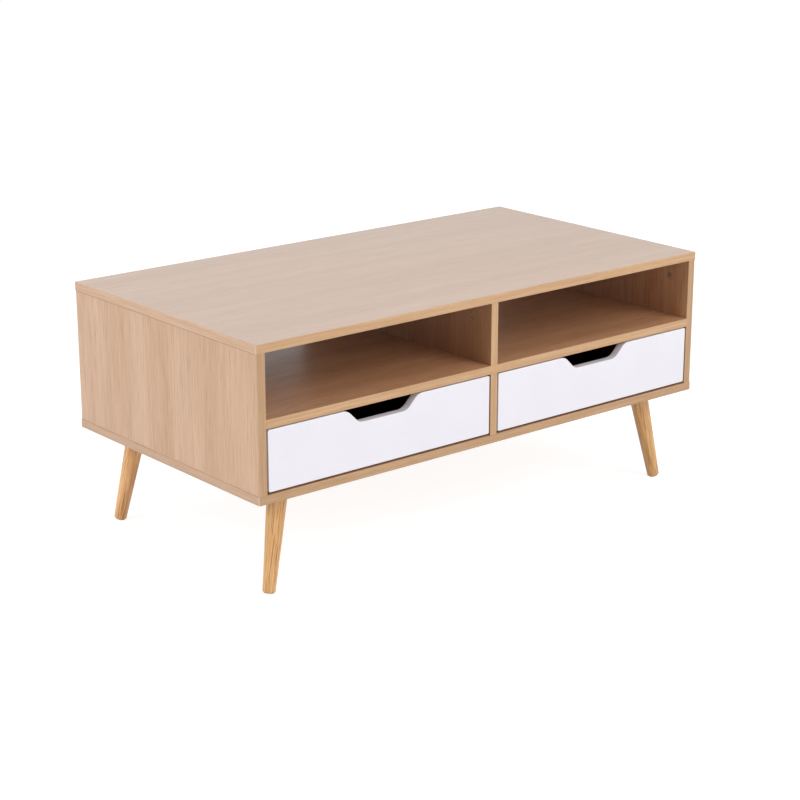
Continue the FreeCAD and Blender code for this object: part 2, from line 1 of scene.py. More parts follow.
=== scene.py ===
import logging
import math
from collections.abc import Callable
from dataclasses import dataclass, replace
from enum import Enum

import bpy
from mathutils import Matrix, Vector


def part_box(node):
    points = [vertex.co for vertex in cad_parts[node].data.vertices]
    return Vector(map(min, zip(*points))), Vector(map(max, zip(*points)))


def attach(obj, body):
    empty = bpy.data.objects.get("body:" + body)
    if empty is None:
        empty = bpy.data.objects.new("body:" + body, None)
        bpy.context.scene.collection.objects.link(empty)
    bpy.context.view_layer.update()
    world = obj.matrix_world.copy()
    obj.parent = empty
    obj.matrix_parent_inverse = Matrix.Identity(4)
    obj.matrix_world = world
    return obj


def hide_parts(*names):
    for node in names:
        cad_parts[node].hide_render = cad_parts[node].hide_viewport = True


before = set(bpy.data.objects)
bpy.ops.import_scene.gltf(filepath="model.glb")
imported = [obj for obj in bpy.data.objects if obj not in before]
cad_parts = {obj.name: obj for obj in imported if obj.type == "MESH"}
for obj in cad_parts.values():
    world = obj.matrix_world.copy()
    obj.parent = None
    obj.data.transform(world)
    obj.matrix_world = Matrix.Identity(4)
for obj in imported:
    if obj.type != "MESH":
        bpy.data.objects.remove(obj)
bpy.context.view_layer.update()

log = logging.getLogger("coffee_table")

MM = 0.001
UP = Vector((0, 0, 1))
# Points that agree to this many digits of a metre are one point.
POINT_DIGITS = 6
# The least cosine between a face's normal and the direction that the face looks along.
FACING = 0.99
# The least cosine between a face's normal and its strip's length for a trimmed end.
TRIMMED = 0.7
# Edges that turn by less than this are shaded smooth.
SMOOTH_ANGLE = math.radians(30)
# The noise values where a soft-edged mark starts and where it is at its full strength.
SOFT_EDGES = (0.36, 0.64)
# How strongly each finer octave of a pattern shows.
OCTAVE_SHARE = 0.55
# The mix node's colour sockets have the names of its number sockets, so they go by place.
MIX_SHARE = 0
MIX_FIRST = 6
MIX_SECOND = 7
MIX_RESULT = 2

Colour = tuple[float, float, float, float]
Corners = tuple[Vector, Vector]
Span = tuple[float, float]
Tones = tuple[str, ...]
Tree = bpy.types.NodeTree
Socket = bpy.types.NodeSocket
Piece = bpy.types.Object
FaceTest = Callable[[bpy.types.MeshPolygon], bool]


class Grain(Enum):
    """The axis that a board's or a strip's grain runs along."""

    ALONG_X = 0
    ALONG_Y = 1
    ALONG_Z = 2

    def stretch(self, along: float, across: float) -> Vector:
        """Works out the pattern scale for marks of a real size.

        Args:
            along: The marks' length along the grain, in millimetres.
            across: Their width across it, in millimetres.

        Returns:
            The scale along X, Y and Z.
        """
        scale = even(across)
        scale[self.value] = 1 / (along * MM)
        return scale

    @classmethod
    def of(cls, corners: Corners) -> "Grain":
        """The grain of a strip, which follows its longest side."""
        size = list(corners[1] - corners[0])
        return cls(size.index(max(size)))


class Detail(Enum):
    """How many finer octaves a pattern has."""

    NONE = 0.0
    LITTLE = 1.0
    FINE = 3.0


class Spot(Enum):
    """One of two places on the table, whose word is part of the nodes' names."""

    @property
    def word(self) -> str:
        """The place's word."""
        return self.name.lower()


class Hand(Spot):
    """A side of the table or of a drawer; the value is its direction along X."""

    LEFT = -1
    RIGHT = 1


class End(Spot):
    """The front or the rear of the table; the value is its direction along Y."""

    FRONT = -1
    REAR = 1


def even(size: float) -> Vector:
    """The pattern scale for marks as long as they are wide, from their size in millimetres."""
    return Vector((1, 1, 1)) / (size * MM)


def linear(hex_code: str) -> Colour:
    """Turns an sRGB colour into linear light.

    Args:
        hex_code: The colour as #RRGGBB.

    Returns:
        Red, green, blue and alpha, from 0 to 1.
    """
    shares = [int(hex_code[i : i + 2], 16) / 255 for i in (1, 3, 5)]
    red, green, blue = (s / 12.92 if s <= 0.04045 else ((s + 0.055) / 1.055) ** 2.4 for s in shares)
    return red, green, blue, 1.0


def add_node(tree: Tree, kind: str, inputs: dict | None = None, **settings: object) -> bpy.types.Node:
    """Adds one node with its settings and links.

    Args:
        tree: The node tree that gets the node.
        kind: Blender's name for the node.
        inputs: A value, or an output to link, for each input by name or number.
        **settings: The node's own properties.

    Returns:
        The new node.
    """
    node = tree.nodes.new(kind)
    for name, value in settings.items():
        setattr(node, name, value)
    for name, value in (inputs or {}).items():
        if isinstance(value, Socket):
            tree.links.new(value, node.inputs[name])
        else:
            node.inputs[name].default_value = value
    return node


@dataclass(frozen=True)
class Surface:
    """The nodes of one material that a finish works on; place is the coordinates, in metres."""

    tree: Tree
    place: Socket
    shader: bpy.types.Node

    def marks(
        self, scale: Vector, shift: float, edges: Span = SOFT_EDGES, detail: Detail = Detail.FINE
    ) -> Socket:
        """Spreads irregular marks of a real size over the surface.

        Args:
            scale: The marks' scale along X, Y and Z.
            shift: How far the pattern is moved, so that no two boards match.
            edges: The noise values where a mark starts and where it is at its full strength.
            detail: How many finer octaves the marks have.

        Returns:
            The marks' strength, from 0 to 1.
        """
        spot = {"Vector": self.place, "Scale": scale, "Location": (shift, shift, shift)}
        moved = add_node(self.tree, "ShaderNodeMapping", spot).outputs[0]
        figure = {"Vector": moved, "Scale": 1.0, "Detail": detail.value, "Roughness": OCTAVE_SHARE}
        noise = add_node(self.tree, "ShaderNodeTexNoise", figure).outputs[0]
        spread = {"Value": noise, "From Min": edges[0], "From Max": edges[1]}
        return add_node(self.tree, "ShaderNodeMapRange", spread).outputs[0]

    def blend(
        self, amount: Socket, first: Colour | Socket, second: Colour, limits: Span = (0.0, 1.0)
    ) -> Socket:
        """Mixes two colours by a pattern.

        Args:
            amount: The pattern.
            first: The colour where the pattern is 0.
            second: The colour where the pattern is 1.
            limits: The shares of the second colour at 0 and at 1.

        Returns:
            The mixed colour.
        """
        span = {"Value": amount, "To Min": limits[0], "To Max": limits[1]}
        share = add_node(self.tree, "ShaderNodeMapRange", span).outputs[0]
        colours = {MIX_SHARE: share, MIX_FIRST: first, MIX_SECOND: second}
        return add_node(self.tree, "ShaderNodeMix", colours, data_type="RGBA").outputs[MIX_RESULT]

    def layers(self, ground: Colour | Socket, marks: tuple[tuple[Socket, str, float], ...]) -> Socket:
        """Lays marks over a ground, one kind after another.

        Args:
            ground: The colour under the marks.
            marks: Each kind's pattern, its tone, and the tone's share where the pattern is 1.

        Returns:
            The colour with all the marks.
        """
        colour = ground
        for pattern, tone, share in marks:
            colour = self.blend(pattern, colour, linear(tone), (0.0, share))
        return colour

    def colour(self, colour: Socket) -> None:
        """Feeds a colour to the shader."""
        self.tree.links.new(colour, self.shader.inputs["Base Color"])

    def gloss(self, pattern: Socket, roughness: Span) -> None:
        """Varies the roughness by a pattern.

        Args:
            pattern: The pattern.
            roughness: The roughness where the pattern is 0 and where it is 1.
        """
        span = {"Value": pattern, "To Min": roughness[0], "To Max": roughness[1]}
        varied = add_node(self.tree, "ShaderNodeMapRange", span).outputs[0]
        self.tree.links.new(varied, self.shader.inputs["Roughness"])

    def relief(self, height: Socket, depth: float, hollow: bool) -> None:
        """Gives the surface a fine relief.

        Args:
            height: The pattern of the relief.
            depth: How deep it is, in millimetres.
            hollow: True where the pattern's marks are hollows.
        """
        form = {"Height": height, "Distance": depth * MM, "Strength": 1.0}
        bump = add_node(self.tree, "ShaderNodeBump", form, invert=hollow)
        self.tree.links.new(bump.outputs[0], self.shader.inputs["Normal"])


@dataclass(frozen=True)
class Finish:
    """A surface finish; each kind says how it is painted.

    Marks are given by their length along the grain and their width across it, in millimetres. A share is
    how much of a mark's tone covers the ground where the mark is strongest.
    """

    name: str

    def material(self) -> bpy.types.Material:
        """Makes the finish's material, the first time that it is asked for.

        Returns:
            The material.
        """
        made = bpy.data.materials.get(self.name)
        if made is None:
            made = bpy.data.materials.new(self.name)
            made.use_nodes = True
            tree = made.node_tree
            place = add_node(tree, "ShaderNodeTexCoord").outputs["Object"]
            self.paint(Surface(tree, place, tree.nodes["Principled BSDF"]))
        return made

    def paint(self, surface: Surface) -> None:
        """Adds the nodes of the finish to a surface."""
        raise NotImplementedError

    def put_on(self, piece: Piece) -> None:
        """Covers a whole piece with the finish."""
        piece.data.materials.clear()
        piece.data.materials.append(self.material())

    def dress(self, *nodes: str) -> None:
        """Covers whole CAD nodes with the finish."""
        for node in nodes:
            self.put_on(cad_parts[node])


@dataclass(frozen=True)
class OakPrintLaminate(Finish):
    """Melamine-faced chipboard: an oak print under a satin resin skin, with shallow embossed pores.

    The eye sees broad pale and dark bands, fine streaks, pale flecks and short dark pore lines along the
    grain. A thin dark line of painted shade runs along a joint under an overhang, and a pale line of
    painted highlight along a joint at a ledge.
    """

    grain: Grain
    pale: str
    dark: str
    pore: str
    shift: float
    contrast: float = 1.0
    # Heights of lines of painted shade, where a joint lies under an overhang, in millimetres.
    painted_shade_joints: tuple[float, ...] = ()
    # Heights of lines of painted highlight, where a joint meets a ledge, in millimetres.
    pale_rims: tuple[float, ...] = ()
    band: Span = (700.0, 40.0)
    streak: Span = (150.0, 2.8)
    # Real pores and flecks are about 0.3 mm wide; these are drawn wider so that they show.
    pores: Span = (60.0, 1.4)
    flecks: Span = (45.0, 1.5)
    pore_edges: Span = (0.54, 0.70)
    fleck_edges: Span = (0.56, 0.72)
    band_middle: float = 0.45
    band_swing: float = 0.35
    streak_share: float = 0.5
    fleck_share: float = 0.6
    pore_share: float = 0.6
    # How much the painted shade darkens the line at a joint.
    joint_shade_share: float = 0.7
    # How much the painted highlight lightens the line at a joint.
    rim_highlight_share: float = 1.0
    line_width: float = 2.2
    pore_depth: float = 0.03
    roughness: Span = (0.30, 0.40)
    # A rubbed face has fine scuffs, which whiten it where it is looked at along its plane.
    scuffs: float = 0.0
    scuff_spread: float = 0.5

    def paint(self, surface: Surface) -> None:
        """Adds the print's bands, streaks, flecks and pores, painted shade and highlight lines and the
        scuffs.

        Args:
            surface: The surface that gets the nodes.
        """
        stretch = self.grain.stretch
        bands = surface.marks(stretch(*self.band), self.shift)
        streaks = surface.marks(stretch(*self.streak), self.shift * 2)
        pores = surface.marks(stretch(*self.pores), self.shift * 3, self.pore_edges, Detail.LITTLE)
        flecks = surface.marks(stretch(*self.flecks), self.shift * 4, self.fleck_edges, Detail.LITTLE)
        swing = self.band_swing * self.contrast
        limits = (self.band_middle - swing, self.band_middle + swing)
        ground = surface.blend(bands, linear(self.pale), linear(self.dark), limits)
        figure = (
            (streaks, self.dark, self.streak_share * self.contrast),
            (flecks, self.pale, self.fleck_share * self.contrast),
            (pores, self.pore, self.pore_share * self.contrast),
            # Lines of painted shade along the joints under an overhang.
            *((self.line(surface, height), self.pore, self.joint_shade_share) for height in self.painted_shade_joints),
            # Lines of painted highlight along the joints at a ledge.
            *((self.line(surface, height), self.pale, self.rim_highlight_share) for height in self.pale_rims),
        )
        surface.colour(surface.layers(ground, figure))
        surface.gloss(pores, self.roughness)
        surface.relief(pores, self.pore_depth, hollow=True)
        surface.shader.inputs["Sheen Weight"].default_value = self.scuffs
        surface.shader.inputs["Sheen Roughness"].default_value = self.scuff_spread

    def line(self, surface: Surface, height: float) -> Socket:
        """Marks a level line round the board.

        Args:
            surface: The surface that gets the nodes.
            height: The line's height, in millimetres.

        Returns:
            1 on the line and 0 a line's width away from it.
        """
        upright = add_node(surface.tree, "ShaderNodeSeparateXYZ", {0: surface.place}).outputs["Z"]
        both = {0: upright, 1: height * MM}
        offset = add_node(surface.tree, "ShaderNodeMath", both, operation="SUBTRACT").outputs[0]
        distance = add_node(surface.tree, "ShaderNodeMath", {0: offset}, operation="ABSOLUTE").outputs[0]
        width = self.line_width * MM
        fade = {"Value": distance, "From Min": width / 2, "From Max": width, "To Min": 1.0, "To Max": 0.0}
        return add_node(surface.tree, "ShaderNodeMapRange", fade).outputs[0]


@dataclass(frozen=True)
class PrintedEdgeBand(Finish):
    """Printed ABS edge band: a satin plastic strip, yellower than the boards, with faint long streaks."""

    grain: Grain
    pale: str
    dark: str
    shift: float
    streak: Span = (120.0, 4.0)
    flecks: Span = (30.0, 1.6)
    fleck_edges: Span = (0.55, 0.75)
    streak_shares: Span = (0.1, 0.7)
    fleck_share: float = 0.6
    fleck_depth: float = 0.02
    roughness: Span = (0.42, 0.52)

    def paint(self, surface: Surface) -> None:
        """Adds the streaks and flecks of the print.

        Args:
            surface: The surface that gets the nodes.
        """
        stretch = self.grain.stretch
        streaks = surface.marks(stretch(*self.streak), self.shift)
        flecks = surface.marks(stretch(*self.flecks), self.shift * 2, self.fleck_edges, Detail.LITTLE)
        ground = surface.blend(streaks, linear(self.pale), linear(self.dark), self.streak_shares)
        surface.colour(surface.layers(ground, ((flecks, self.dark, self.fleck_share),)))
        surface.gloss(flecks, self.roughness)
        surface.relief(flecks, self.fleck_depth, hollow=True)


@dataclass(frozen=True)
class WhiteLacquer(Finish):
    """White polyurethane lacquer on board: even and satin, with a faint orange peel and slight clouding."""

    light: str
    shade: str
    cloud: float = 90.0
    cloud_shift: float = 3.0
    # Orange peel is about 1 mm across on such a front; it is drawn at 3 mm so that it shows.
    peel: float = 3.0
    peel_shift: float = 5.0
    peel_edges: Span = (0.2, 0.8)
    peel_depth: float = 0.003
    roughness: Span = (0.30, 0.38)

    def paint(self, surface: Surface) -> None:
        """Adds the clouding and the orange peel.

        Args:
            surface: The surface that gets the nodes.
        """
        clouds = surface.marks(even(self.cloud), self.cloud_shift)
        peel = surface.marks(even(self.peel), self.peel_shift, self.peel_edges, Detail.NONE)
        surface.colour(surface.blend(clouds, linear(self.light), linear(self.shade)))
        surface.gloss(clouds, self.roughness)
        surface.relief(peel, self.peel_depth, hollow=False)


@dataclass(frozen=True)
class TurnedWood(Finish):
    """Turned solid wood under clear lacquer: growth rings cut lengthwise, fine streaks and a soft sheen.

    The rings lie round a pith beside the leg, so that they show as long lines and arches on its taper.
    """

    early: str
    late: str
    vein: str
    pith: Vector
    turn: Vector
    shift: float
    ring: float = 5.0
    lengthen: float = 16.0
    waver: float = 3.0
    waver_detail: float = 2.0
    waver_scale: float = 0.35
    streak: Span = (140.0, 3.4)
    # Veins are about 0.5 mm wide; these are drawn wider so that they show.
    veins: Span = (90.0, 2.2)
    pales: Span = (90.0, 2.4)
    vein_edges: Span = (0.52, 0.68)
    pale_edges: Span = (0.54, 0.70)
    ring_share: float = 0.5
    streak_share: float = 0.6
    vein_share: float = 0.8
    pale_share: float = 0.9
    vein_depth: float = 0.03
    roughness: Span = (0.34, 0.46)

    def paint(self, surface: Surface) -> None:
        """Adds the rings, streaks and veins along the leg.

        Args:
            surface: The surface that gets the nodes.
        """
        lie = {"Vector": surface.place, "Location": self.pith, "Rotation": self.turn}
        turned = add_node(surface.tree, "ShaderNodeMapping", lie, vector_type="TEXTURE")
        leg = replace(surface, place=turned.outputs[0])
        stretch = Grain.ALONG_Z.stretch
        streaks = leg.marks(stretch(*self.streak), self.shift)
        veins = leg.marks(stretch(*self.veins), self.shift * 2, self.vein_edges, Detail.LITTLE)
        pales = leg.marks(stretch(*self.pales), self.shift * 3, self.pale_edges, Detail.LITTLE)
        figure = (
            (self.rings(leg), self.late, self.ring_share),
            (streaks, self.late, self.streak_share),
            (veins, self.vein, self.vein_share),
            (pales, self.early, self.pale_share),
        )
        leg.colour(leg.layers(linear(self.early), figure))
        leg.gloss(streaks, self.roughness)
        leg.relief(veins, self.vein_depth, hollow=True)

    def rings(self, leg: Surface) -> Socket:
        """Draws the growth rings round the pith.

        Args:
            leg: The surface, with coordinates along the leg.

        Returns:
            The rings' strength, from 0 to 1.
        """
        longer = {"Vector": leg.place, "Scale": (1, 1, 1 / self.lengthen)}
        figure = {
            "Vector": add_node(leg.tree, "ShaderNodeMapping", longer).outputs[0],
            # A wave ring of scale 1 repeats every tenth of pi.
            "Scale": math.pi / 10 / (self.ring * MM),
            "Distortion": self.waver,
            "Detail": self.waver_detail,
            "Detail Scale": self.waver_scale,
            "Phase Offset": self.shift,
        }
        kind = {"wave_type": "RINGS", "rings_direction": "Z", "wave_profile": "SAW"}
        return add_node(leg.tree, "ShaderNodeTexWave", figure, **kind).outputs["Fac"]


@dataclass(frozen=True)
class Fibreboard(Finish):
    """Hardboard: pressed brown fibres with a smooth, slightly shiny face."""

    pale: str
    dark: str
    fibre: Span = (9.0, 2.5)
    shift: float = 1.0
    cross_share: float = 0.6
    fibre_depth: float = 0.02
    roughness: Span = (0.35, 0.5)

    def paint(self, surface: Surface) -> None:
        """Adds the felt of short fibres.

        Args:
            surface: The surface that gets the nodes.
        """
        one_way = surface.marks(Grain.ALONG_X.stretch(*self.fibre), self.shift)
        other_way = surface.marks(Grain.ALONG_Y.stretch(*self.fibre), self.shift * 2)
        ground = surface.blend(one_way, linear(self.pale), linear(self.dark))
        surface.colour(surface.layers(ground, ((other_way, self.dark, self.cross_share),)))
        surface.gloss(one_way, self.roughness)
        surface.relief(other_way, self.fibre_depth, hollow=True)


@dataclass(frozen=True)
class Coating(Finish):
    """Powder coat or moulded plastic: one colour with slight mottling and a fine pebbled relief."""

    light: str
    shade: str
    roughness: Span
    pebble: float = 1.2
    pebble_depth: float = 0.02
    pebble_edges: Span = (0.3, 0.7)
    mottle: float = 12.0
    shift: float = 1.0

    def paint(self, surface: Surface) -> None:
        """Adds the mottling and the pebbles.

        Args:
            surface: The surface that gets the nodes.
        """
        mottle = surface.marks(even(self.mottle), self.shift)
        pebbles = surface.marks(even(self.pebble), self.shift * 2, self.pebble_edges, Detail.LITTLE)
        surface.colour(surface.blend(mottle, linear(self.light), linear(self.shade)))
        surface.gloss(mottle, self.roughness)
        surface.relief(pebbles, self.pebble_depth, hollow=False)


@dataclass(frozen=True)
class ZincMetal(Finish):
    """Zinc, plated or die-cast: a grey metal with soft cloudy spangles and uneven shine."""

    light: str
    shade: str
    roughness: Span
    spangle: float = 2.2
    shift: float = 1.0

    def paint(self, surface: Surface) -> None:
        """Adds the spangles.

        Args:
            surface: The surface that gets the nodes.
        """
        spangles = surface.marks(even(self.spangle), self.shift)
        surface.colour(surface.blend(spangles, linear(self.light), linear(self.shade)))
        surface.shader.inputs["Metallic"].default_value = 1.0
        surface.gloss(spangles, self.roughness)


# Pale, dark and pore tones of the boards. The top's tones are darker and greyer than the sides':
# painted shade against the stronger light on the top and the whitening of its scuffs.
SHADED_TOP_TONES = ("#C0A48F", "#B1937D", "#9C7E69")
SIDE_TONES = ("#D6B497", "#C09776", "#A07856")
# Painted shade: the faces inside the case get darker, browner tones than those outside, the dividers' darkest
# of all.
SHADED_INSIDE_TONES = ("#C89A77", "#AF7E58", "#8A603B")
SHADED_DIVIDER_TONES = ("#BA8F6E", "#A37551", "#805936")
# Pale and dark tones of the bands: those of the sides and the bottom are a little darker.
BAND_TONES = ("#CCA67E", "#B68C64")
LOWER_BAND_TONES = ("#BE9A75", "#AA835D")
# The strips on the table's ends are less yellow.
END_TONES = ("#D2AF92", "#C0997B")
LOWER_END_TONES = ("#C8A78B", "#B79275")
# The legs' tones differ as painted light and shade: the rear legs are lighter and the front right one
# darker, each set to the brightness that the light on it gives it.
LEG_TONES = {
    "front_left_leg": ("#E5B87D", "#C28B51", "#976334"),
    "front_right_leg": ("#E0B377", "#BD874D", "#946031"),
    "rear_left_leg": ("#FBCC90", "#DB9D63", "#AE7142"),
    "rear_right_leg": ("#EFC284", "#CB9357", "#A06A38"),
}

# Moulded plastic has finer and shallower pebbles than powder coat.
MOULDED = {"pebble": 0.8, "pebble_depth": 0.01}

# An even satin white, faintly cool beside the wood.
WHITE_FRONT = WhiteLacquer("white_pu_lacquer", "#E7E5EC", "#E5E3EA")
# A dull brown felt on the floors of the drawers.
HARDBOARD = Fibreboard("brown_hardboard", "#7A5A40", "#5F432D")
# A clean warm white with a soft shine.
RUNNER_COAT = Coating("white_powder_coat", "#E7E5DE", "#E2DFD8", roughness=(0.35, 0.45))
# Nearly black, so that the plates are lost in the shade under the case.
PLATE_COAT = Coating("black_powder_coat", "#1C1C1D", "#141415", roughness=(0.4, 0.55))
# A milky white, smoother than the coated metal beside it.
NYLON = Coating("moulded_nylon", "#EDEBE4", "#E2DFD6", roughness=(0.38, 0.5), **MOULDED)
# A dull beige close to the legs' wood.
GLIDE_PLASTIC = Coating(
    "moulded_beige_polyethylene", "#C9A373", "#BB9263", roughness=(0.45, 0.6), **MOULDED
)
# The strips' trimmed ends show their paler unprinted core.
BAND_CORE = Coating("abs_core", "#F6E6D6", "#EEDCCA", roughness=(0.45, 0.55), **MOULDED)
# A bright grey metal with soft clouds.
ZINC_PLATE = ZincMetal("zinc_plated_steel_satin", "#C3C4C6", "#A9ABAE", roughness=(0.28, 0.42))
# A dull yellowish metal, which shows as a quiet round spot on the board.
ZINC_CAST = ZincMetal("yellow_zinc_die_casting", "#C6A88A", "#AC9074", roughness=(0.45, 0.6))
# Pale straight-grained wood; the boards' print has the same figure, so it serves for the dowels too.
BEECH_DOWEL = OakPrintLaminate(
    "beech_dowel_wood", Grain.ALONG_Z, "#DDBE93", "#C9A678", "#A9865B", shift=9.0
)


def solids_of(node: str) -> list[list[Vector]]:
    """Sorts a CAD node's points by the separate solids that they belong to.

    Args:
        node: The node's name.

    Returns:
        The points of each solid.
    """
    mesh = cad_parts[node].data
    roots: dict[tuple, tuple] = {}

    def root(key: tuple) -> tuple:
        """Finds the point that stands for all the points joined to this one.

        Args:
            key: The point.

        Returns:
            The point that stands for them.
        """
        while roots[key] != key:
            roots[key] = roots[roots[key]]
            key = roots[key]
        return key

    keys = [tuple(round(c, POINT_DIGITS) for c in v.co) for v in mesh.vertices]
    for key in keys:
        roots.setdefault(key, key)
    for face in mesh.polygons:
        first = root(keys[face.vertices[0]])
        for other in face.vertices[1:]:
            roots[root(keys[other])] = first
    groups: dict[tuple, list[Vector]] = {}
    for key in roots:
        groups.setdefault(root(key), []).append(Vector(key))
    return list(groups.values())


def corners_of(points: list[Vector]) -> Corners:
    """Finds the box round some points.

    Args:
        points: The points.

    Returns:
        The box's lowest and highest corner.
    """
    lowest = Vector(min(p[i] for p in points) for i in range(3))
    highest = Vector(max(p[i] for p in points) for i in range(3))
    return lowest, highest


def pick_faces(piece: Piece, wanted: FaceTest) -> None:
    """Goes into edit mode with the wanted faces of the active piece selected.

    Args:
        piece: The active piece.
        wanted: Says of a face whether it is selected.
    """
    bpy.ops.object.mode_set(mode="EDIT")
    bpy.ops.mesh.select_mode(type="FACE")
    bpy.ops.mesh.select_all(action="DESELECT")
    bpy.ops.object.mode_set(mode="OBJECT")
    for face in piece.data.polygons:
        face.select = wanted(face)
    bpy.ops.object.mode_set(mode="EDIT")


def facing(direction: Vector) -> FaceTest:
    """A test for faces that look along a direction."""
    return lambda face: face.normal.dot(direction) > FACING


def apply_modifier(piece: Piece, kind: str, **settings: object) -> None:
    """Adds a modifier to the active piece and applies it.

    Args:
        piece: The active piece.
        kind: The modifier's type.
        **settings: The modifier's properties.
    """
    modifier = piece.modifiers.new(kind.title(), kind)
    for name, value in settings.items():
        setattr(modifier, name, value)
    bpy.ops.object.modifier_apply(modifier=modifier.name)


def copies_joined(model: Piece, places: list[Matrix], name: str) -> Piece:
    """Puts a copy of a model at each place and joins the copies into one piece.

    Args:
        model: The piece that is copied; it is deleted afterwards.
        places: Where each copy goes.
        name: The joined piece's name.

    Returns:
        The joined piece.
    """
    bpy.ops.object.select_all(action="DESELECT")
    for place in places:
        copy = bpy.data.objects.new(name, model.data.copy())
        copy.data.transform(place)
        bpy.context.scene.collection.objects.link(copy)
        copy.select_set(True)
        bpy.context.view_layer.objects.active = copy
    bpy.data.objects.remove(model)
    if len(places) > 1:
        bpy.ops.object.join()
    piece = bpy.context.view_layer.objects.active
    piece.name = name
    return piece


@dataclass
class Case:
    """The laminated case: boards, edge bands and the fittings that hold it together.

    Each board has its grain and its tones. Each node of bands has the tones of its strips on the front and
    the back, and those of its strips on the table's ends.
    """

    boards: dict[str, tuple[Grain, Tones]]
    bands: dict[str, tuple[Tones, Tones]]
    side_panels: tuple[str, ...] = ("left_side_panel", "right_side_panel")
    contrast: float = 0.85
    # The top is rubbed dull by use; the other boards keep their satin.
    top_contrast: float = 0.8
    top_roughness: Span = (0.64, 0.72)
    top_scuffs: float = 0.5
    # Heights of the side panels' joints with the top and the bottom, in millimetres.
    top_joint: float = 424.0
    # The top joint gets a line of painted shade under the top's overhang.
    bottom_joint: float = 189.0
    # The bottom joint gets a line of painted highlight along the foot of the side panel.
    # How far the print is moved from one board, or from one node of bands, to the next.
    board_shift: float = 7.3
    band_shift: float = 3.1
    inside_shift: float = 61.0
    # The shank's diameter of the rails' screws, in millimetres.
    rail_screw_shank: float = 3.0

    def build(self) -> None:
        """Builds the screws that hold the rails."""
        PanScrews("rail_screws", "case", self.rail_screw_shank).build()

    def dress(self) -> None:
        """Gives every board its own stretch of print and every strip its own run of band."""
        for number, board in enumerate(self.boards, start=1):
            self.dress_board(board, self.board_shift * number)
        for number, node in enumerate(self.bands, start=1):
            self.dress_bands(node, self.band_shift * number)
        ZINC_CAST.dress("cam_locks")
        ZINC_PLATE.dress("cam_bolts")
        BEECH_DOWEL.dress("dowels")
        log.info("dressed the case's cams, bolts and dowels")

    def dress_board(self, board: str, shift: float) -> None:
        """Dresses one board.

        Args:
            board: The board's node.
            shift: How far the print is moved.
        """
        grain, tones = self.boards[board]
        name = f"oak_print_melamine_{board}"
        finish = OakPrintLaminate(name, grain, *tones, shift=shift, contrast=self.contrast)
        if board == "top_panel":
            finish = replace(
                finish, contrast=self.top_contrast, roughness=self.top_roughness, scuffs=self.top_scuffs
            )
        if board in self.side_panels:
            # The side panels get a line of painted shade at the top joint and a line of painted highlight at
            # the bottom joint.
            finish = replace(finish, painted_shade_joints=(self.top_joint,), pale_rims=(self.bottom_joint,))
        finish.dress(board)
        if board in self.side_panels:
            self.shade_inside_face(board, grain)
        log.info("dressed %s with grain %s", board, grain.name)

    def shade_inside_face(self, board: str, grain: Grain) -> None:
        """Gives the face of a side panel that looks into the case the darker, browner tones of painted shade.

        Args:
            board: The side panel's node.
            grain: Its grain.
        """
        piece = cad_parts[board]
        # The inside face gets the darker tones of painted shade.
        name = f"oak_print_melamine_{board}_inside"
        inside = OakPrintLaminate(name, grain, *SHADED_INSIDE_TONES, shift=self.inside_shift)
        piece.data.materials.append(inside.material())
        for face in piece.data.polygons:
            face.material_index = int(face.normal.x * face.center.x < 0)

    def dress_bands(self, node: str, shift: float) -> None:
        """Dresses a node of edge bands, each strip with its grain along its length.

        Args:
            node: The node of strips.
            shift: How far the print is moved.
        """
        tones, end_tones = self.bands[node]
        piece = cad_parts[node]
        piece.data.materials.clear()
        ways = list(Grain)
        for way in ways:
            strip_tones = end_tones if way is Grain.ALONG_Y else tones
            finish = PrintedEdgeBand(f"abs_band_{node}_{way.name.lower()}", way, *strip_tones, shift=shift)
            piece.data.materials.append(finish.material())
        piece.data.materials.append(BAND_CORE.material())
        strips = [corners_of(points) for points in solids_of(node)]
        for face in piece.data.polygons:
            for low, high in strips:
                if all(low[i] <= face.center[i] <= high[i] for i in range(3)):
                    way = Grain.of((low, high))
                    trimmed = abs(face.normal[way.value]) > TRIMMED
                    face.material_index = len(ways) if trimmed else ways.index(way)
        log.info("dressed %s: %d strips", node, len(strips))


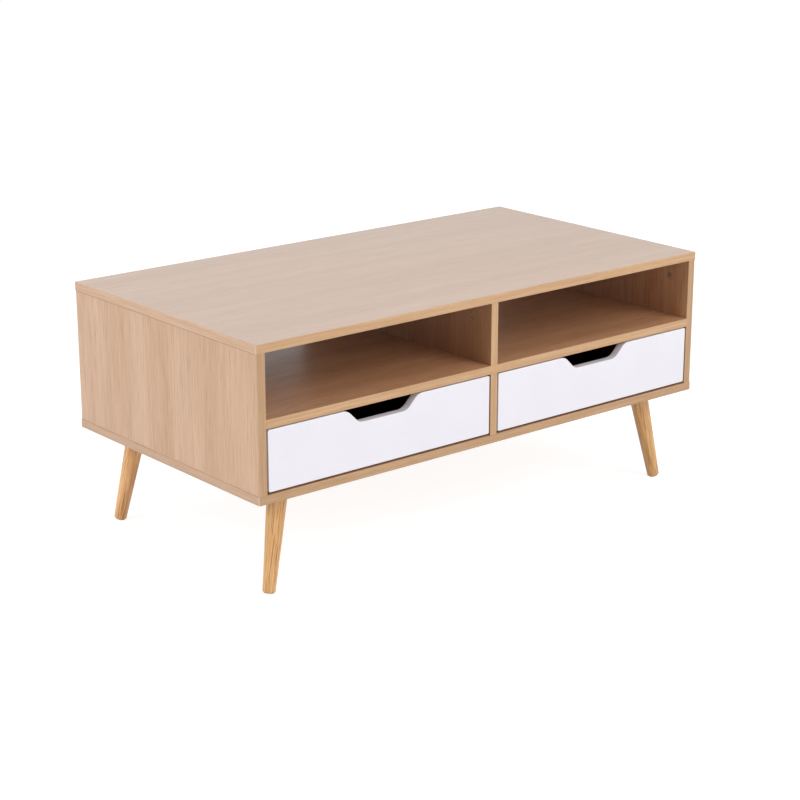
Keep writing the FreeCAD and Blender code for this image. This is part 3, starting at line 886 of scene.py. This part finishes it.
@dataclass
class PanScrews:
    """Pan-head screws with a cross recess, which stand for a node of plain ones.

    Lengths are in millimetres and angles in degrees.
    """

    node: str
    body: str
    shank: float
    head_height: float = 2.0
    wall_height: float = 0.8
    crown: float = 1.5
    rim_round: float = 0.35
    rim_steps: int = 3
    rim_angle: float = 25.0
    tip: float = 3.0
    tip_share: float = 0.25
    recess_length: float = 3.8
    recess_width: float = 0.9
    recess_depth: float = 1.3
    recess_taper: float = 0.6
    sides: int = 24

    def build(self) -> None:
        """Models one screw and puts a copy in the place of each plain one."""
        solids = solids_of(self.node)
        low, high = corners_of(solids[0])
        size = sorted(high - low)
        model = self.model(head_diameter=size[0] / MM, length=size[2] / MM - self.head_height)
        piece = copies_joined(model, [self.place(points) for points in solids], f"{self.node}_crossed")
        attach(piece, self.body)
        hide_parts(self.node)
        ZINC_PLATE.put_on(piece)
        log.info("built %s: %d screws", piece.name, len(solids))

    def model(self, head_diameter: float, length: float) -> Piece:
        """Models a screw that points up, with its head's seat at the origin.

        Args:
            head_diameter: The head's diameter, in millimetres.
            length: The shank's length under the head, in millimetres.

        Returns:
            The screw.
        """
        bpy.ops.object.select_all(action="DESELECT")
        wall = self.wall_height * MM
        bpy.ops.mesh.primitive_cylinder_add(
            vertices=self.sides, radius=head_diameter / 2 * MM, depth=wall, location=(0, 0, -wall / 2)
        )
        screw = bpy.context.object
        bpy.ops.object.transform_apply(location=True)
        pick_faces(screw, facing(-UP))
        bpy.ops.mesh.inset(thickness=self.crown * MM, depth=(self.head_height - self.wall_height) * MM)
        pick_faces(screw, facing(UP))
        bpy.ops.mesh.inset(thickness=(head_diameter - self.shank) / 2 * MM, depth=0)
        for run, share in ((length - self.tip, 1.0), (self.tip, self.tip_share)):
            bpy.ops.mesh.extrude_region_move(TRANSFORM_OT_translate={"value": (0, 0, run * MM)})
            bpy.ops.transform.resize(value=(share, share, 1))
        bpy.ops.object.mode_set(mode="OBJECT")
        rim = {"width": self.rim_round * MM, "segments": self.rim_steps}
        apply_modifier(screw, "BEVEL", angle_limit=math.radians(self.rim_angle), **rim)
        self.cut_recess(screw)
        bpy.ops.object.shade_smooth_by_angle(angle=SMOOTH_ANGLE)
        return screw

    def cut_recess(self, screw: Piece) -> None:
        """Sinks the cross recess in the head.

        Args:
            screw: The active piece, whose head gets the recess.
        """
        face_centre = (0, 0, -self.head_height * MM)
        for turn in (0.0, math.pi / 2):
            bpy.ops.object.select_all(action="DESELECT")
            bpy.ops.mesh.primitive_cube_add(size=1, location=face_centre, rotation=(0, 0, turn))
            blade = bpy.context.object
            blade.scale = Vector((self.recess_length, self.recess_width, 2 * self.recess_depth)) * MM
            bpy.ops.object.transform_apply(location=True, rotation=True, scale=True)
            pick_faces(blade, facing(UP))
            bpy.ops.transform.resize(value=(self.recess_taper, self.recess_taper, 1))
            bpy.ops.object.mode_set(mode="OBJECT")
            bpy.ops.object.select_all(action="DESELECT")
            screw.select_set(True)
            bpy.context.view_layer.objects.active = screw
            apply_modifier(screw, "BOOLEAN", object=blade, operation="DIFFERENCE", solver="EXACT")
            bpy.data.objects.remove(blade)

    def place(self, points: list[Vector]) -> Matrix:
        """Finds where a plain screw sits and which way it points.

        Args:
            points: The plain screw's points.

        Returns:
            The matrix that takes the model there.
        """
        low, high = corners_of(points)
        axis = Grain.of((low, high)).value
        middle = (low + high) / 2
        widest = max(points, key=lambda p: sum((p[i] - middle[i]) ** 2 for i in range(3) if i != axis))
        way = 1 if widest[axis] < middle[axis] else -1
        seat = middle.copy()
        seat[axis] = (low[axis] if way > 0 else high[axis]) + way * self.head_height * MM
        direction = Vector((0, 0, 0))
        direction[axis] = way
        turn = UP.rotation_difference(direction).to_matrix().to_4x4()
        return Matrix.Translation(seat) @ turn


@dataclass
class MouldedRoller:
    """A moulded nylon roller with recessed faces and a hub, which stands for a plain ring.

    Lengths are in millimetres and angles in degrees.
    """

    node: str
    bore: float = 4.1
    rim: float = 1.4
    hub: float = 7.4
    recess: float = 1.3
    ease: float = 0.6
    ease_steps: int = 3
    ease_angle: float = 60.0
    draft: float = 0.3
    sides: int = 48

    def build(self) -> None:
        """Models the roller round its axle."""
        low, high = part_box(self.node)
        size = (high - low) / MM
        radius = size.z / 2
        bpy.ops.object.select_all(action="DESELECT")
        bpy.ops.mesh.primitive_cylinder_add(
            vertices=self.sides,
            radius=radius * MM,
            depth=size.x * MM,
            location=(low + high) / 2,
            rotation=(0, math.pi / 2, 0),
        )
        roller = bpy.context.object
        bpy.ops.object.transform_apply(location=True, rotation=True)
        eased = {"width": self.ease * MM, "segments": self.ease_steps}
        apply_modifier(roller, "BEVEL", angle_limit=math.radians(self.ease_angle), **eased)
        pick_faces(roller, lambda face: abs(face.normal.x) > FACING)
        floor = radius - self.ease - self.rim - self.draft
        # Each step inwards goes from the rim towards the bore, with its rise.
        steps = (
            (self.rim, 0.0),
            (self.draft, -self.recess),
            (floor - self.hub / 2, 0.0),
            (self.draft, self.recess),
            (self.hub / 2 - self.draft - self.bore / 2, 0.0),
        )
        for inwards, rise in steps:
            bpy.ops.mesh.inset(thickness=inwards * MM, depth=rise * MM, use_individual=True)
        bpy.ops.mesh.bridge_edge_loops()
        bpy.ops.object.mode_set(mode="OBJECT")
        bpy.ops.object.shade_smooth_by_angle(angle=SMOOTH_ANGLE)
        roller.name = f"{self.node}_moulded"
        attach(roller, self.node)
        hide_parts(self.node)
        NYLON.put_on(roller)
        log.info("built %s", roller.name)


@dataclass
class Drawer:
    """One drawer: its white front, its box and its share of the runners."""

    side: Hand
    shift: float
    board_shift: float = 2.7
    # The shank's diameter of its screws, in millimetres.
    screw_shank: float = 3.0

    def build(self) -> None:
        """Builds the drawer's screws and all the rollers of its bay."""
        side = self.side.word
        PanScrews(f"{side}_drawer_screws", f"{side}_drawer", self.screw_shank).build()
        for hand in Hand:
            MouldedRoller(f"{side}_drawer_{hand.word}_roller").build()
            MouldedRoller(f"{side}_bay_{hand.word}_rail_roller").build()

    def dress(self) -> None:
        """Dresses the front, the box, the runners and their rails."""
        side = self.side.word
        name = f"{side}_drawer"
        WHITE_FRONT.dress(f"{name}_front")
        runs = {"left_side": Grain.ALONG_Y, "right_side": Grain.ALONG_Y, "back": Grain.ALONG_X}
        for number, (board, grain) in enumerate(runs.items()):
            shift = self.shift + self.board_shift * number
            # The box inside the case gets the darker tones of painted shade.
            finish = OakPrintLaminate(f"oak_print_melamine_{name}_{board}", grain, *SHADED_INSIDE_TONES, shift=shift)
            finish.dress(f"{name}_{board}")
        HARDBOARD.dress(f"{name}_bottom")
        ZINC_CAST.dress(f"{name}_cam_locks")
        ZINC_PLATE.dress(f"{name}_cam_bolts")
        for hand in Hand:
            RUNNER_COAT.dress(f"{name}_{hand.word}_runner", f"{side}_bay_{hand.word}_rail")
        log.info("dressed the %s drawer and its rails", side)


@dataclass
class LegSet:
    """The splayed legs with their plates, bolts, screws and glides.

    Lengths are in millimetres and angles in degrees.
    """

    tones: dict[str, Tones]
    lean: float = 12.7
    turn: float = 26.0
    plate_screw_shank: float = 4.0
    pith_beside: float = 26.0
    # How far the rings are moved on a rear leg, and to either side of the table.
    rear_shift: float = 11.0
    hand_shift: float = 5.0

    def build(self) -> None:
        """Builds the screws of the plates."""
        PanScrews("leg_plate_screws", "case", self.plate_screw_shank).build()

    def dress(self) -> None:
        """Dresses each leg with rings along its own lean, and the metal and glides."""
        for end in End:
            for hand in Hand:
                self.dress_leg(end, hand)
                PLATE_COAT.dress(f"{end.word}_{hand.word}_leg_plate")
        ZINC_PLATE.dress("leg_hanger_bolts")
        GLIDE_PLASTIC.dress("leg_glides")
        log.info("dressed the legs, plates and glides")

    def dress_leg(self, end: End, hand: Hand) -> None:
        """Dresses one leg.

        Args:
            end: Whether it stands at the front or the rear.
            hand: Its side of the table.
        """
        node = f"{end.word}_{hand.word}_leg"
        heading = math.radians(self.turn)
        slope = math.radians(self.lean)
        outward = Vector((hand.value * math.cos(heading), end.value * math.sin(heading), 0))
        axis = -UP * math.cos(slope) + outward * math.sin(slope)
        low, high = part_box(node)
        beside = Vector((-end.value, hand.value, 0)) * self.pith_beside * MM
        pith = (low + high) / 2 + beside
        turn = Vector(UP.rotation_difference(-axis).to_euler())
        shift = self.hand_shift * hand.value + (self.rear_shift if end is End.REAR else 0.0)
        finish = TurnedWood(f"lacquered_wood_{node}", *self.tones[node], pith, turn, shift)
        finish.dress(node)


@dataclass(frozen=True)
class Softbox:
    """A square soft lamp; lengths are in metres and the power in watts."""

    name: str
    place: Vector
    size: float
    power: float

    def build(self, target: Vector) -> None:
        """Sets the lamp up and aims it.

        Args:
            target: The point that it is aimed at.
        """
        data = bpy.data.lights.new(self.name, "AREA")
        data.shape = "SQUARE"
        data.size = self.size
        data.energy = self.power
        lamp = bpy.data.objects.new(self.name, data)
        lamp.location = self.place
        lamp.rotation_euler = (target - self.place).to_track_quat("-Z", "Y").to_euler()
        bpy.context.scene.collection.objects.link(lamp)


@dataclass
class Studio:
    """A white studio: floor, soft lamps and the camera.

    Places and the floor's size are in metres, the lens and its sensor in millimetres.
    """

    softboxes: tuple[Softbox, ...]
    target: Vector
    camera_place: Vector
    camera_way: Vector
    lens: float
    sensor: float = 36.0
    floor_size: float = 30.0
    floor_colour: str = "#F4F4F4"
    shadow_colour: str = "#A0A0A0"
    floor_glow: float = 0.86
    sky: float = 0.40

    def build(self) -> None:
        """Builds the floor, the world, the lamps and the camera."""
        self.floor()
        self.world()
        for softbox in self.softboxes:
            softbox.build(self.target)
        self.camera()
        bpy.context.scene.view_settings.view_transform = "Standard"
        log.info("built the studio")

    def floor(self) -> None:
        """A pale floor that shows as white and keeps a soft shadow."""
        bpy.ops.object.select_all(action="DESELECT")
        bpy.ops.mesh.primitive_plane_add(size=self.floor_size)
        floor = bpy.context.object
        floor.name = "studio_floor"
        made = bpy.data.materials.new("white_studio_floor")
        made.use_nodes = True
        tree = made.node_tree
        tree.nodes.clear()
        paint = add_node(tree, "ShaderNodeBsdfDiffuse", {"Color": linear(self.floor_colour)}).outputs[0]
        # Seen directly, the floor is nearly white by itself, and the light on it adds the rest up to white.
        glow = add_node(tree, "ShaderNodeEmission", {"Strength": self.floor_glow}).outputs[0]
        shaded = add_node(tree, "ShaderNodeBsdfDiffuse", {"Color": linear(self.shadow_colour)}).outputs[0]
        white = add_node(tree, "ShaderNodeAddShader", {0: glow, 1: shaded}).outputs[0]
        both = add_node(tree, "ShaderNodeMixShader", {0: self.seen(tree), 1: paint, 2: white}).outputs[0]
        add_node(tree, "ShaderNodeOutputMaterial", {"Surface": both})
        floor.data.materials.append(made)

    @staticmethod
    def seen(tree: Tree) -> Socket:
        """Tells the rays that show the studio from those that light the object.

        Args:
            tree: The node tree.

        Returns:
            1 for rays that the camera, metal or glass sends out, and 0 for all others.
        """
        path = add_node(tree, "ShaderNodeLightPath")
        rays = path.outputs["Is Camera Ray"]
        for name in ("Is Glossy Ray", "Is Transmission Ray"):
            pair = {0: rays, 1: path.outputs[name]}
            rays = add_node(tree, "ShaderNodeMath", pair, operation="MAXIMUM").outputs[0]
        return rays

    def world(self) -> None:
        """A white surround that lights the object evenly and shows as white."""
        world = bpy.data.worlds.new("white_surround")
        world.use_nodes = True
        bpy.context.scene.world = world
        tree = world.node_tree
        span = {"Value": self.seen(tree), "To Min": self.sky, "To Max": 1.0}
        strength = add_node(tree, "ShaderNodeMapRange", span).outputs[0]
        background = tree.nodes["Background"]
        background.inputs["Color"].default_value = (1, 1, 1, 1)
        tree.links.new(strength, background.inputs["Strength"])

    def camera(self) -> None:
        """The camera, where the photograph was taken from."""
        data = bpy.data.cameras.new("photo_camera")
        data.lens = self.lens
        data.sensor_width = self.sensor
        camera = bpy.data.objects.new("photo_camera", data)
        camera.location = self.camera_place
        camera.rotation_euler = self.camera_way.to_track_quat("-Z", "Y").to_euler()
        bpy.context.scene.collection.objects.link(camera)
        bpy.context.scene.camera = camera


def main() -> None:
    """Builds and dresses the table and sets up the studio."""
    logging.basicConfig(level=logging.INFO, format="%(name)s: %(message)s")
    case = Case(
        boards={
            "top_panel": (Grain.ALONG_X, SHADED_TOP_TONES),
            # The boards inside the case, and the bottom, get the darker tones of painted shade.
            "bottom_panel": (Grain.ALONG_X, SHADED_INSIDE_TONES),
            "left_side_panel": (Grain.ALONG_Z, SIDE_TONES),
            "right_side_panel": (Grain.ALONG_Z, SIDE_TONES),
            "shelf_panel": (Grain.ALONG_X, SHADED_INSIDE_TONES),
            "upper_divider": (Grain.ALONG_Z, SHADED_DIVIDER_TONES),
            "lower_divider": (Grain.ALONG_Z, SHADED_DIVIDER_TONES),
            "back_panel": (Grain.ALONG_X, SIDE_TONES),
        },
        bands={
            "top_edge_bands": (BAND_TONES, END_TONES),
            "bottom_edge_bands": (LOWER_BAND_TONES, LOWER_END_TONES),
            "side_edge_bands": (LOWER_BAND_TONES, LOWER_END_TONES),
            "inner_edge_bands": (BAND_TONES, END_TONES),
        },
    )
    case.build()
    case.dress()
    for drawer in (Drawer(Hand.LEFT, shift=31.0), Drawer(Hand.RIGHT, shift=47.0)):
        drawer.build()
        drawer.dress()
    legs = LegSet(LEG_TONES)
    legs.build()
    legs.dress()
    Studio(
        softboxes=(
            Softbox("key_softbox", place=Vector((1.3, -4.6, 3.1)), size=3.4, power=149.0),
            Softbox("side_softbox", place=Vector((-3.4, 0.8, 2.4)), size=3.2, power=77.0),
            Softbox("top_softbox", place=Vector((0.0, -0.9, 3.4)), size=2.6, power=29.0),
        ),
        target=Vector((0, 0, 0.3)),
        camera_place=Vector((-2.2575, -2.7202, 1.2824)),
        camera_way=Vector((0.6121, 0.7334, -0.2957)),
        lens=91.1,
    ).build()


if __name__ == "__main__":
    main()
